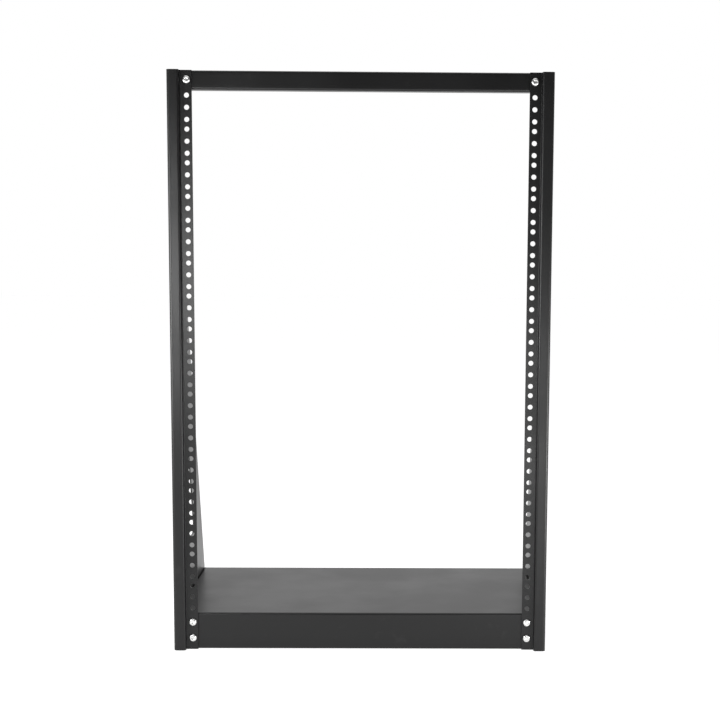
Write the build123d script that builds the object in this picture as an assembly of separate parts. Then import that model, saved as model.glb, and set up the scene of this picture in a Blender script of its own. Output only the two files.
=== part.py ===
from build123d import *
from math import hypot
import os

# Two post open frame rack for 19 inch equipment, folded from sheet steel.
# Millimetres, +Z up. The origin is on the floor at the middle of the footprint,
# +X is the width and +Y runs from the front, where the holes are, to the rear.

# Equipment that the rack takes: its unit of one and three quarter inches, with holes
# five eighths of an inch above and below its middle one, the width over its front
# ears, and how far in from the ends of the ears their holes are.
rack_units = 16
unit_height = 44.45
hole_row_share = 5 / 14
equipment_ear_width = 482.6
ear_end_to_hole = 8.75
ear_side_gap = 0.5
rack_hole_diameter = 6.8

# Sheet that every folded piece is made of.
sheet = 2.0
inside_bend_radius = 1.0

# Uprights: side panel, front band, step back and hole flange in one sheet. The panel
# is deepest up to the height of the base and slopes forward from there to its top.
rack_depth = 300.0
front_band_width = 16.4
hole_to_flange_edge = 7.05
flange_setback = 8.0
panel_top_depth = 35.5
panel_corner_radius = 6.0
panel_knee_radius = 6.0

# Cut-out in each side panel, with its rear edge parallel to the sloped one.
window_front = 55.0
window_bottom = 129.0
window_rear_margin = 76.0
window_corner_radius = 12.0

# Stack of heights at the front, from the floor up.
base_height = 51.25
base_to_units_gap = 1.0
units_to_crossbar_gap = 1.15
crossbar_height = 25.4

# Crossbar: a shallow channel, open to the rear.
crossbar_depth = 15.0

# Base tray: a top sheet folded down on four sides, with a return at two of them.
side_fit_gap = 0.3
tray_rear_inset = 2.0
tray_return = 14.0
tray_side_lip_lift = 6.0
tray_relief = 3.0

# Screws: button heads with a hexagon socket, and hexagon nuts behind the sheets.
screw_diameter = 6.0
screw_length = 12.0
head_diameter = 10.5
head_height = 3.3
head_rim = 0.7
socket_across_flats = 4.0
socket_depth = 2.1
nut_across_flats = 10.0
nut_height = 5.2
nut_chamfer = 0.4
screw_hole_gap = 0.3
thread_gap = 0.05
front_screw_from_floor = 16.4
front_screw_from_tray_top = 12.55
side_screw_from_front = 75.0
side_screw_from_rear = 55.0

# How far a cut runs past the faces that it opens.
overrun = 5.0

# Places that follow from the sizes above.
post_height = (
    base_height + base_to_units_gap + rack_units * unit_height
    + units_to_crossbar_gap + crossbar_height
)
front_face = -rack_depth / 2
rear_face = rack_depth / 2
flange_front_face = front_face + flange_setback
flange_back_face = flange_front_face + sheet
step_face = equipment_ear_width / 2 + ear_side_gap
web_outer_face = step_face + front_band_width
web_inner_face = web_outer_face - sheet
inset_width = 2 * (web_inner_face - side_fit_gap)
middle_bend_radius = inside_bend_radius + sheet / 2
outside_bend_radius = inside_bend_radius + sheet
screw_hole_radius = screw_diameter / 2 + screw_hole_gap
hole_column = equipment_ear_width / 2 - ear_end_to_hole
flange_edge = hole_column - hole_to_flange_edge
crossbar_screw_height = post_height - crossbar_height / 2
front_screw_heights = [front_screw_from_floor, base_height - front_screw_from_tray_top]
side_screw_places = [front_face + side_screw_from_front, rear_face - side_screw_from_rear]
side_screw_level = base_height / 2
panel_slope = (rack_depth - panel_top_depth) / (post_height - base_height)

# Plane to draw on as seen from the right-hand side, with y to the right and z up.
side_view = Plane(origin=(0, 0, 0), x_dir=(0, 1, 0), z_dir=(1, 0, 0))


def folded_section(*corners):
    """Section of a bent sheet, from the corners of its middle line."""
    middle_line = FilletPolyline(*corners, radius=middle_bend_radius)
    return trace(middle_line, sheet)


def across(section, width):
    """Run a section drawn in the side view out to both sides of the middle."""
    return extrude(side_view * section, amount=width / 2, both=True)


def drill_from_front(places, radius):
    """Round cutters along Y at places (x, z), through the sheets at the flange."""
    start = flange_front_face - overrun
    length = flange_setback + sheet + 2 * overrun
    faces = [Pos(x, z) * Circle(radius) for x, z in places]
    return extrude(Plane((0, start, 0), (1, 0, 0), (0, -1, 0)) * Sketch(faces), amount=-length)


def drill_from_side(places, radius):
    """Round cutters along X at places (y, z), from one side of the rack to the other."""
    faces = [Pos(y, z) * Circle(radius) for y, z in places]
    return extrude(side_view * Sketch(faces), amount=web_outer_face + overrun, both=True)


def rack_hole_places(x):
    """Places (x, z) of all equipment holes of one column: three to each unit."""
    first_middle = base_height + base_to_units_gap + unit_height / 2
    return [
        (x, first_middle + (unit + row * hole_row_share) * unit_height)
        for unit in range(rack_units)
        for row in (-1, 0, 1)
    ]


def panel_rear_edge(height):
    """Depth from the front at which the sloped rear edge passes a height."""
    return panel_top_depth + panel_slope * (post_height - height)


def side_outline():
    """Outline of an upright seen from the side: tall at the front, long at the floor."""
    outline = make_face(Polyline(
        (front_face, 0),
        (rear_face, 0),
        (rear_face, base_height),
        (front_face + panel_top_depth, post_height),
        (front_face, post_height),
        close=True,
    ))
    for corner, radius in (
        ((front_face + panel_top_depth, post_height), panel_corner_radius),
        ((rear_face, base_height), panel_knee_radius),
    ):
        outline = fillet(outline.vertices().sort_by_distance(corner)[0], radius)
    return outline


def window_outline():
    """Rounded triangle with its rear edge parallel to the panel's sloped edge."""
    bottom_length = panel_rear_edge(window_bottom) - window_rear_margin - window_front
    window_height = bottom_length / panel_slope
    corner = (front_face + window_front, window_bottom)
    outline = make_face(Polyline(
        corner,
        (corner[0] + bottom_length, corner[1]),
        (corner[0], corner[1] + window_height),
        close=True,
    ))
    return fillet(outline.vertices(), window_corner_radius)


def right_upright():
    """Side panel, front band, step and hole flange, folded from one sheet."""
    web_middle = web_outer_face - sheet / 2
    step_middle = step_face + sheet / 2
    section = folded_section(
        (web_middle, rear_face),
        (web_middle, front_face + sheet / 2),
        (step_middle, front_face + sheet / 2),
        (step_middle, flange_front_face + sheet / 2),
        (flange_edge, flange_front_face + sheet / 2),
    )
    upright = extrude(section, amount=post_height)
    cut_width = 2 * (web_outer_face + overrun)
    upright = upright & across(side_outline(), cut_width)
    upright = upright - across(window_outline(), cut_width)
    upright = upright - drill_from_front(rack_hole_places(hole_column), rack_hole_diameter / 2)
    screw_heights = front_screw_heights + [crossbar_screw_height]
    upright = upright - drill_from_front([(hole_column, z) for z in screw_heights], screw_hole_radius)
    side_holes = [(y, side_screw_level) for y in side_screw_places]
    return upright - drill_from_side(side_holes, screw_hole_radius)


def top_crossbar():
    """Shallow channel that joins the uprights behind the tops of their flanges."""
    bottom = post_height - crossbar_height + sheet / 2
    top = post_height - sheet / 2
    front = flange_back_face + sheet / 2
    rear = flange_back_face + crossbar_depth
    bar = across(folded_section((rear, bottom), (front, bottom), (front, top), (rear, top)), inset_width)
    ends = [(side * hole_column, crossbar_screw_height) for side in (-1, 1)]
    return bar - drill_from_front(ends, screw_hole_radius)


def base_tray():
    """Flat base, folded down on four sides, with notches where the side folds start."""
    front = flange_back_face + sheet / 2
    rear = rear_face - tray_rear_inset - sheet / 2
    top = base_height - sheet / 2
    side = inset_width / 2 - sheet / 2
    front_and_rear = folded_section(
        (front + tray_return, sheet / 2),
        (front, sheet / 2),
        (front, top),
        (rear, top),
        (rear, sheet / 2),
        (rear - tray_return, sheet / 2),
    )
    tray = across(front_and_rear, inset_width)

    lip_front = front + sheet / 2 + inside_bend_radius + tray_relief
    lip_rear = rear - sheet / 2 - inside_bend_radius - tray_relief
    notch_length = lip_rear - lip_front + 2 * tray_relief
    notch_place = Pos(0, (lip_front + lip_rear) / 2, base_height)
    for side_sign in (-1, 1):
        corner = Pos(side_sign * inset_width / 2, 0, 0)
        tray = tray - notch_place * corner * Box(2 * outside_bend_radius, notch_length, 2 * outside_bend_radius)

    sides = folded_section((-side, tray_side_lip_lift), (-side, top), (side, top), (side, tray_side_lip_lift))
    tray = tray + extrude(Plane((0, lip_rear, 0), (1, 0, 0), (0, -1, 0)) * sides, amount=lip_rear - lip_front)

    front_holes = [(side_sign * hole_column, z) for side_sign in (-1, 1) for z in front_screw_heights]
    tray = tray - drill_from_front(front_holes, screw_hole_radius)
    return tray - drill_from_side([(y, side_screw_level) for y in side_screw_places], screw_hole_radius)


def button_screw():
    """Screw along +Z, its head on top of the level zero and its shank below it."""
    rim = head_diameter / 2
    lip = socket_across_flats / 2
    shank = screw_diameter / 2
    rise = head_height - head_rim
    dome_radius = hypot(rim, (rim**2 - lip**2 - rise**2) / (2 * rise))
    crown = RadiusArc((rim, head_rim), (lip, head_height), -dome_radius)
    outline = crown + Polyline(
        (lip, head_height),
        (0, head_height),
        (0, -screw_length),
        (shank, -screw_length),
        (shank, 0),
        (rim, 0),
        (rim, head_rim),
    )
    screw = revolve(Plane.XZ * make_face(outline), Axis.Z)
    socket = RegularPolygon(lip, 6, major_radius=False)
    return screw - extrude(Pos(0, 0, head_height - socket_depth) * socket, amount=socket_depth + overrun)


def hex_nut():
    """Nut along -Z, with its upper face on the level zero and its outer corners eased."""
    blank = extrude(RegularPolygon(nut_across_flats / 2, 6, major_radius=False), amount=-nut_height)
    bore = Cylinder(screw_diameter / 2 + thread_gap, 4 * nut_height)
    bottom_edges = blank.faces().sort_by(Axis.Z)[0].edges()
    return chamfer(bottom_edges, nut_chamfer) - bore


def place_from_front(piece, x, y, z):
    """Turn a piece made along +Z to point out of the front, and put it in its place."""
    return Plane((x, y, z), (1, 0, 0), (0, -1, 0)) * piece


def place_from_side(piece, side_sign, x, y, z):
    """Turn a piece made along +Z to point out of one side, and put it in its place."""
    return Plane((side_sign * x, y, z), (0, 1, 0), (side_sign, 0, 0)) * piece


def crossbar_fasteners():
    """One screw and nut at each end of the crossbar."""
    pieces = {}
    for side_name, side_sign in (("left", -1), ("right", 1)):
        x = side_sign * hole_column
        z = crossbar_screw_height
        pieces[f"crossbar_screw_{side_name}"] = place_from_front(button_screw(), x, flange_front_face, z)
        pieces[f"crossbar_nut_{side_name}"] = place_from_front(hex_nut(), x, flange_back_face + sheet, z)
    return pieces


def base_front_fasteners():
    """Two screws and nuts that hold each end of the base tray's front lip to a flange."""
    pieces = {}
    for side_name, side_sign in (("left", -1), ("right", 1)):
        for level_name, z in zip(("lower", "upper"), front_screw_heights):
            x = side_sign * hole_column
            name = f"{side_name}_{level_name}"
            pieces[f"base_front_screw_{name}"] = place_from_front(button_screw(), x, flange_front_face, z)
            pieces[f"base_front_nut_{name}"] = place_from_front(hex_nut(), x, flange_back_face + sheet, z)
    return pieces


def base_side_fasteners():
    """Two screws and nuts that hold each side lip of the base tray to a side panel."""
    pieces = {}
    lip_inner_face = inset_width / 2 - sheet
    for side_name, side_sign in (("left", -1), ("right", 1)):
        for place_name, y in zip(("front", "rear"), side_screw_places):
            name = f"{side_name}_{place_name}"
            z = side_screw_level
            pieces[f"base_side_screw_{name}"] = place_from_side(button_screw(), side_sign, web_outer_face, y, z)
            pieces[f"base_side_nut_{name}"] = place_from_side(hex_nut(), side_sign, lip_inner_face, y, z)
    return pieces


def make_parts():
    """Every sub-part by the name of its node."""
    upright = right_upright()
    parts = {
        "right_upright": upright,
        "left_upright": mirror(upright, about=Plane.YZ),
        "top_crossbar": top_crossbar(),
        "base_tray": base_tray(),
    }
    parts.update(crossbar_fasteners())
    parts.update(base_front_fasteners())
    parts.update(base_side_fasteners())
    return parts


os.makedirs("parts", exist_ok=True)
for node, piece in make_parts().items():
    export_step(piece, f"parts/{node}.step")
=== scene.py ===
"""Looks of a free-standing two post open frame rack, folded from powder coated sheet steel.

Each folded piece is made as the middle surface of its sheet, worked out with numpy, and gets
its thickness from a modifier. Screws and nuts are turned surfaces with a hexagon in them.
Lengths are in metres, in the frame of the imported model: the origin is on the floor at the
middle of the footprint, +X is the width, +Y runs from the front to the rear and +Z is up.
"""

import logging
import math
from dataclasses import dataclass, field
from enum import Enum
from typing import Callable, Dict, Iterable, List, Optional, Sequence, Tuple

import bmesh
import bpy
import numpy as np
from mathutils import Matrix, Vector


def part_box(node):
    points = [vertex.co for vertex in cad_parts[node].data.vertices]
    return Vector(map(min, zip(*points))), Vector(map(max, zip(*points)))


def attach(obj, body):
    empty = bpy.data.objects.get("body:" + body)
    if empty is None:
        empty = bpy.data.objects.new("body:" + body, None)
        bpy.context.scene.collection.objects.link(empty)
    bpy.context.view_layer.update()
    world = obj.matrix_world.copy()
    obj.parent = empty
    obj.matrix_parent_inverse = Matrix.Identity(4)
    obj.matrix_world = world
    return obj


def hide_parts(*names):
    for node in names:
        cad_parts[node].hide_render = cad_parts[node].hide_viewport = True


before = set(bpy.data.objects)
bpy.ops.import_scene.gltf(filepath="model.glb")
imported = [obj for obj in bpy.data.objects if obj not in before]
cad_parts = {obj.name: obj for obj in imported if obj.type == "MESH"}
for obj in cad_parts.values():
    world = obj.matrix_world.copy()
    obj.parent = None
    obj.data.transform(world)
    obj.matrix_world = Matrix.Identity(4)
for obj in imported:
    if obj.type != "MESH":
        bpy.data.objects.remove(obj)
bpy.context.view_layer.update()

Pair = Tuple[float, float]
Triple = Tuple[float, float, float]
Rgb = Tuple[float, float, float]
Block = Tuple[int, int, int, int]
Ring = Tuple[object, object]
Placer = Callable[[np.ndarray], np.ndarray]
Piece = bpy.types.Object
Material = bpy.types.Material
Tree = bpy.types.NodeTree
Socket = bpy.types.NodeSocket

MM = 0.001
WELD = 0.01 * MM
HEX_SIDES = 6
WHITE = (1.0, 1.0, 1.0, 1.0)

log = logging.getLogger("rack")


class Side(Enum):
    """Side of the rack, with the sign of its X."""

    LEFT = -1
    RIGHT = 1

    @property
    def word(self) -> str:
        """Name of the side as it stands in the names of nodes."""
        return self.name.lower()


class Facing(Enum):
    """Way that a screw's head points out of the rack."""

    FRONT = "front"
    SIDE = "side"


class Axis(Enum):
    """Axis of the rack, with its place in a point."""

    X = 0
    Y = 1
    Z = 2


# Plane curves and rows of lines


def unit(vectors: np.ndarray) -> np.ndarray:
    """Scale vectors to a length of one.

    Args:
        vectors: One vector, or an array of them.

    Returns:
        The scaled vectors.
    """
    return vectors / np.linalg.norm(vectors, axis=-1, keepdims=True)


def rounded_path(corners: Sequence[Pair], radius: float, steps: int) -> np.ndarray:
    """Path through corners, with an arc in place of each inner one.

    An arc is tangent to both runs that meet at its corner. With phi as half of the angle
    between the runs, it starts radius / tan(phi) before the corner, its centre lies
    radius / sin(phi) along the bisector, and it turns evenly from the first spoke to the last.

    Args:
        corners: Corners of the path.
        radius: Radius of every arc.
        steps: Number of chords in each arc.

    Returns:
        Points of the path, of shape (n, 2).
    """
    path = [np.array(corners[:1], float)]
    share = np.linspace(0.0, 1.0, steps + 1)[:, None]
    for before, corner, after in zip(corners[:-2], corners[1:-1], corners[2:]):
        corner = np.array(corner, float)
        back, ahead = (unit(np.array(other) - corner) for other in (before, after))
        phi = 0.5 * math.acos(float(np.clip(back @ ahead, -1.0, 1.0)))
        centre = corner + unit(back + ahead) * radius / math.sin(phi)
        first, last = (corner + way * radius / math.tan(phi) - centre for way in (back, ahead))
        turn = math.pi - 2 * phi
        spokes = (np.sin((1 - share) * turn) * first + np.sin(share * turn) * last) / math.sin(turn)
        path.append(centre + spokes)
    path.append(np.array(corners[-1:], float))
    return np.concatenate(path)


def resampled(path: np.ndarray, count: int) -> np.ndarray:
    """Path with points at even distances along it.

    Args:
        path: Points of shape (n, 2).
        count: Number of points to give back, both ends among them.

    Returns:
        Points of shape (count, 2).
    """
    lengths = np.linalg.norm(np.diff(path, axis=0), axis=1)
    along = np.concatenate([[0.0], np.cumsum(lengths)])
    places = np.linspace(0.0, along[-1], count)
    return np.stack([np.interp(places, along, path[:, axis]) for axis in range(2)], axis=1)


def subdivided(path: np.ndarray, longest: float) -> np.ndarray:
    """Path with its long runs cut into even steps.

    Args:
        path: Points of shape (n, 2).
        longest: Longest step to leave.

    Returns:
        Points of shape (m, 2), the given ones among them.
    """
    parts = [path[:1]]
    for start, end in zip(path[:-1], path[1:]):
        steps = max(1, math.ceil(float(np.linalg.norm(end - start)) / longest - 1e-6))
        share = np.linspace(0.0, 1.0, steps + 1)[1:, None]
        parts.append(start + (end - start) * share)
    return np.concatenate(parts)


@dataclass(frozen=True)
class Ruling:
    """How grid lines lie: close together across each hole and wider apart elsewhere.

    Attributes:
        longest: Longest step between the finely ruled stretches.
        half: Half of the stretch that is ruled finely round each hole.
        steps: Number of steps across each such stretch.
    """

    longest: float
    half: float = 5.6 * MM
    steps: int = 8

    def lines(self, start: float, end: float, centres: Iterable[float]) -> np.ndarray:
        """Grid lines along one axis.

        Args:
            start: First line.
            end: Last line.
            centres: Places of the holes along the axis, in rising order.

        Returns:
            Places of the lines, rising.
        """
        parts = [[start]]
        for centre in (*centres, None):
            last = parts[-1][-1]
            low = end if centre is None else centre - self.half
            gap = max(1, math.ceil((low - last) / self.longest))
            parts.append(np.linspace(last, low, gap + 1)[1:])
            if centre is not None:
                parts.append(np.linspace(low, centre + self.half, self.steps + 1)[1:])
        return np.concatenate(parts)


def span_round(lines: np.ndarray, middle: float, reach: float) -> Tuple[int, int]:
    """Find the lines that close in a stretch round a place.

    Args:
        lines: Places of the lines, rising.
        middle: The place.
        reach: Half of the stretch.

    Returns:
        Index of the line below the stretch and of the one above it.
    """
    low = int(np.searchsorted(lines, middle - reach, side="right")) - 1
    high = int(np.searchsorted(lines, middle + reach))
    return max(low, 0), min(high, len(lines) - 1)


def block_edge(plane: np.ndarray, block: Block) -> np.ndarray:
    """Points round a block of a grid, once round, starting at its lowest corner.

    Args:
        plane: Points of the grid, of shape (m, n, 2).
        block: First and last line of the block along the first axis, then along the second.

    Returns:
        Loop of shape (k, 2).
    """
    i0, i1, j0, j1 = block
    wide, high = i1 - i0, j1 - j0
    i = [np.arange(i0, i1), np.full(high, i1), np.arange(i1, i0, -1), np.full(high, i0)]
    j = [np.full(wide, j0), np.arange(j0, j1), np.full(wide, j1), np.arange(j1, j0, -1)]
    return plane[np.concatenate(i), np.concatenate(j)]


def on_plane(axis: Axis, offset: float, flip: float = 1.0) -> Placer:
    """Say how pairs of coordinates turn into points of a plane that is square to an axis.

    Args:
        axis: The axis.
        offset: Place of the plane along it.
        flip: Factor on the first coordinate of each pair.

    Returns:
        Function from an array of pairs to an array of points.
    """
    return lambda plane: np.insert(plane * (flip, 1.0), axis.value, offset, axis=-1)


# Surfaces and what is made of them


def welded_piece(name: str, points: np.ndarray, quads: np.ndarray, distance: float) -> Piece:
    """Make an object of quads, with its seams welded and its faces turned alike.

    Args:
        name: Name of the piece.
        points: Points of shape (n, 3).
        quads: Four indices for each face.
        distance: Distance under which points are one.

    Returns:
        The new object, at the origin.
    """
    mesh = bpy.data.meshes.new(name)
    mesh.from_pydata(points.tolist(), [], quads.tolist())
    welded = bmesh.new()
    welded.from_mesh(mesh)
    bmesh.ops.remove_doubles(welded, verts=welded.verts, dist=distance)
    bmesh.ops.recalc_face_normals(welded, faces=welded.faces)
    welded.to_mesh(mesh)
    welded.free()
    piece = bpy.data.objects.new(name, mesh)
    bpy.context.scene.collection.objects.link(piece)
    return piece


def keep_flats_flat(piece: Piece) -> None:
    """Let the large faces of a smooth piece set the normals along their edges.

    Args:
        piece: The piece.
    """
    shading = piece.modifiers.new("flat_faces_stay_flat", "WEIGHTED_NORMAL")
    shading.keep_sharp = True
    shading.weight = 100


@dataclass(frozen=True)
class Hole:
    """Round hole in a flat stretch of sheet.

    Attributes:
        centre: Place of its middle along the two axes of the stretch.
        radius: Its radius.
    """

    centre: Pair
    radius: float


class MiddleSurface:
    """Middle surface of one folded sheet, gathered from patches that meet on shared lines."""

    def __init__(self) -> None:
        """Start with no patches."""
        self.points: List[np.ndarray] = []
        self.quads: List[np.ndarray] = []

    def add_grid(self, grid: np.ndarray, kept: Optional[np.ndarray] = None) -> None:
        """Add a patch of quads between the points of a grid.

        Args:
            grid: Points of shape (m, n, 3).
            kept: Which of its (m - 1, n - 1) quads are there, or None for all.
        """
        rows, columns = grid.shape[:2]
        first = sum(len(points) for points in self.points)
        index = np.arange(first, first + rows * columns).reshape(rows, columns)
        quads = np.stack([index[:-1, :-1], index[1:, :-1], index[1:, 1:], index[:-1, 1:]], axis=-1)
        self.quads.append(quads[kept] if kept is not None else quads.reshape(-1, 4))
        self.points.append(grid.reshape(-1, 3))

    def add_swept(self, path: np.ndarray, lines: np.ndarray, axis: Axis) -> None:
        """Add a path that is swept straight along an axis.

        Each point is one of the path's, with one of the lines as its coordinate along the axis.

        Args:
            path: Points of shape (n, 2), along the other two axes.
            lines: Places along the axis at which the path is repeated.
            axis: The axis.
        """
        swept = np.broadcast_to(path[:, None], (len(path), len(lines), 2))
        self.add_grid(np.insert(swept, axis.value, lines, axis=-1))

    def add_ring(self, outer: np.ndarray, inner: np.ndarray, shares: Sequence[float], place: Placer) -> None:
        """Add closed rings of quads between two loops with as many points.

        A point of a ring lies at its share of the way from the outer loop to the inner one.

        Args:
            outer: Loop of shape (n, 2).
            inner: Loop of shape (n, 2).
            shares: Shares of the way for the rings, from 0 to 1.
            place: Turns pairs into points.
        """
        outer, inner = (np.concatenate([loop, loop[:1]]) for loop in (outer, inner))
        share = np.array(shares)[:, None, None]
        self.add_grid(place(outer * (1 - share) + inner * share))

    def add_hole(self, plane: np.ndarray, block: Block, kept: np.ndarray, hole: Hole, place: Placer) -> None:
        """Put a round hole in place of a block of a grid.

        A point of the hole's edge lies on the line from a point of the block's edge to the
        middle.

        Args:
            plane: Points of the grid, of shape (m, n, 2).
            block: The block.
            kept: Which quads of the grid are there, from which the block is taken out.
            hole: The hole.
            place: Turns pairs into points.
        """
        kept[block[0]:block[1], block[2]:block[3]] = False
        outer = block_edge(plane, block)
        inner = hole.centre + hole.radius * unit(outer - hole.centre)
        self.add_ring(outer, inner, (0.0, 1.0), place)

    def add_pierced(self, u: np.ndarray, v: np.ndarray, place: Placer, holes: Sequence[Hole],
                    reach: float) -> None:
        """Add a flat grid with round holes in it.

        Args:
            u: Places of the lines along the first axis, rising.
            v: Places of the lines along the second axis, rising.
            place: Turns pairs into points.
            holes: The holes, each with lines all round it.
            reach: How far from a hole's middle those lines are.
        """
        plane = np.stack(np.meshgrid(u, v, indexing="ij"), axis=-1)
        kept = np.ones((len(u) - 1, len(v) - 1), bool)
        for hole in holes:
            spans = [span_round(lines, middle, reach - WELD) for lines, middle in zip((u, v), hole.centre)]
            self.add_hole(plane, (*spans[0], *spans[1]), kept, hole, place)
        self.add_grid(place(plane), kept)

    def add_channel(self, path: np.ndarray, arc: int, columns: np.ndarray, ruling: Ruling,
                    heights: Sequence[float], holes: Sequence[Hole]) -> None:
        """Add a section swept along X: its two folded ends, and the pierced wall between them.

        Args:
            path: Section (y, z), of shape (n, 2).
            arc: Number of its points in the first end.
            columns: Places of the lines along X.
            ruling: How the wall is ruled.
            heights: Heights in the wall round which it is ruled finely, rising.
            holes: Holes in the wall.
        """
        for run in (path[:arc], path[arc:]):
            self.add_swept(subdivided(run, ruling.half), columns, Axis.X)
        low, high = sorted(path[arc - 1:arc + 1, 1])
        rows = ruling.lines(low, high, heights)
        self.add_pierced(columns, rows, on_plane(Axis.Y, path[arc, 0]), holes, ruling.half)

    def make(self, name: str) -> Piece:
        """Make one object of all patches.

        Args:
            name: Name of the piece.

        Returns:
            The new object, at the origin.
        """
        used, renumbered = np.unique(np.concatenate(self.quads), return_inverse=True)
        return welded_piece(name, np.concatenate(self.points)[used], renumbered.reshape(-1, 4), WELD)


@dataclass(frozen=True)
class SheetSteel:
    """Sheet that the folded pieces are made of.

    Attributes:
        thickness: Thickness of the sheet with its coat.
        bend: Radius of a fold at the middle of the sheet.
        bend_steps: Chords in a fold.
        edge: How far the coat rounds off a cut edge.
        edge_steps: Steps across that rounding.
        edge_angle: Turn in degrees past which an edge is a cut one and not part of a fold.
    """

    thickness: float = 2.0 * MM
    bend: float = 2.0 * MM
    bend_steps: int = 7
    edge: float = 0.35 * MM
    edge_steps: int = 2
    edge_angle: float = 50.0

    @property
    def half(self) -> float:
        """Half of the thickness, from the middle surface to a face."""
        return self.thickness / 2

    def folded(self, corners: Sequence[Pair]) -> np.ndarray:
        """Middle line of a folded stretch.

        Args:
            corners: Corners of the line.

        Returns:
            Points of shape (n, 2).
        """
        return rounded_path(corners, self.bend, self.bend_steps)

    def thicken(self, piece: Piece) -> None:
        """Give a middle surface its thickness, and round off its cut edges.

        Args:
            piece: The piece, still a surface.
        """
        piece.data.shade_smooth()
        wall = piece.modifiers.new("sheet_thickness", "SOLIDIFY")
        wall.thickness = self.thickness
        wall.offset = 0.0
        wall.use_even_offset = True
        wall.use_quality_normals = True
        eased = piece.modifiers.new("coated_edges", "BEVEL")
        eased.width = self.edge
        eased.segments = self.edge_steps
        eased.limit_method = "ANGLE"
        eased.angle_limit = math.radians(self.edge_angle)
        eased.use_clamp_overlap = True
        keep_flats_flat(piece)


def hand_over(piece: Piece, material: Material, node: str) -> None:
    """Dress a finished piece, and let it stand for its node of the model.

    Args:
        piece: The piece, at the origin.
        material: Its finish.
        node: The node that it stands for.
    """
    piece.data.materials.append(material)
    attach(piece, "root")
    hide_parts(node)
    log.info("made %s for %s: %d vertices before its modifiers", piece.name, node, len(piece.data.vertices))


# Finishes


class Shading:
    """Shader tree under construction, with short ways to add to it."""

    def __init__(self, tree: Tree) -> None:
        """Take up a tree.

        Args:
            tree: The tree.
        """
        self.tree = tree

    def fill(self, node: bpy.types.Node, inputs: Dict[object, object]) -> bpy.types.Node:
        """Set inputs of a node, or link them.

        Args:
            node: The node.
            inputs: Numbers, colours or output sockets for its inputs, by name or by place.

        Returns:
            The node.
        """
        for name, value in inputs.items():
            if isinstance(value, Socket):
                self.tree.links.new(value, node.inputs[name])
            else:
                node.inputs[name].default_value = value
        return node

    def add(self, kind: str, inputs: Dict[object, object]) -> bpy.types.Node:
        """Add a node.

        Args:
            kind: Its type, without the ShaderNode in front.
            inputs: What its inputs get, as in fill.

        Returns:
            The node.
        """
        return self.fill(self.tree.nodes.new(f"ShaderNode{kind}"), inputs)

    def place(self, group: Tree, inputs: Dict[object, object]) -> bpy.types.NodeOutputs:
        """Add a shared effect.

        Args:
            group: The effect.
            inputs: What its inputs get, as in fill.

        Returns:
            Its outputs.
        """
        node = self.tree.nodes.new("ShaderNodeGroup")
        node.node_tree = group
        return self.fill(node, inputs).outputs

    def math(self, operation: str, first: object, second: object) -> Socket:
        """Work out one value from two.

        Args:
            operation: Blender's name of the operation.
            first: Socket or number.
            second: Socket or number.

        Returns:
            The result.
        """
        node = self.add("Math", {0: first, 1: second})
        node.operation = operation
        return node.outputs[0]

    def span(self, value: Socket, ends: Pair, results: Pair = (0.0, 1.0)) -> Socket:
        """Run a value smoothly from one result to another.

        Args:
            value: Socket to map.
            ends: Values at which the results are reached.
            results: The two results.

        Returns:
            The mapped value.
        """
        node = self.add("MapRange", {"Value": value, "From Min": ends[0], "From Max": ends[1],
                                     "To Min": results[0], "To Max": results[1]})
        node.interpolation_type = "SMOOTHSTEP"
        return node.outputs["Result"]

    def between(self, share: Socket, low: float, high: float) -> Socket:
        """Run a value evenly from low to high as a share goes from 0 to 1.

        Args:
            share: The share.
            low: Value at 0.
            high: Value at 1.

        Returns:
            The value.
        """
        return self.math("ADD", self.math("MULTIPLY", share, high - low), low)


class Effect(Shading):
    """Node group over a position, shared by several finishes."""

    def __init__(self, name: str, scales: Sequence[str]) -> None:
        """Make a group with its inputs.

        Args:
            name: Name of the group.
            scales: Names of the inputs that hold a number of features in a metre.
        """
        super().__init__(bpy.data.node_groups.new(name, "ShaderNodeTree"))
        self.tree.interface.new_socket(name="Position", in_out="INPUT", socket_type="NodeSocketVector")
        for scale in scales:
            self.tree.interface.new_socket(name=scale, in_out="INPUT", socket_type="NodeSocketFloat")
        self.inputs = self.tree.nodes.new("NodeGroupInput").outputs
        self.outputs = self.tree.nodes.new("NodeGroupOutput").inputs

    def gives(self, name: str, source: Socket) -> None:
        """Add a named output and feed it.

        Args:
            name: Name of the output.
            source: Socket that feeds it.
        """
        self.tree.interface.new_socket(name=name, in_out="OUTPUT", socket_type="NodeSocketFloat")
        self.tree.links.new(source, self.outputs[name])

    def noise(self, scale: str, detail: float, roughness: float) -> Socket:
        """Add a noise over the position.

        Args:
            scale: Name of the input that holds its scale.
            detail: Octaves of the noise.
            roughness: Share that each octave keeps.

        Returns:
            The noise, about 0.5 on average.
        """
        values = {"Vector": self.inputs["Position"], "Scale": self.inputs[scale], "Detail": detail,
                  "Roughness": roughness}
        return self.add("TexNoise", values).outputs["Fac"]


def fine_grain() -> Tree:
    """Fine texture of a coat: soft orange peel with a finer grain and sparse flecks in it.

    Returns:
        The group, which gives Height and Fleck.
    """
    effect = Effect("fine_grain", ("Peel Scale", "Grain Scale"))
    peel = effect.noise("Peel Scale", detail=1.0, roughness=0.5)
    grain = effect.noise("Grain Scale", detail=2.0, roughness=0.6)
    effect.gives("Height", effect.math("MULTIPLY", effect.math("ADD", peel, grain), 0.5))
    effect.gives("Fleck", effect.span(grain, ends=(0.6, 0.78)))
    return effect.tree


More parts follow.
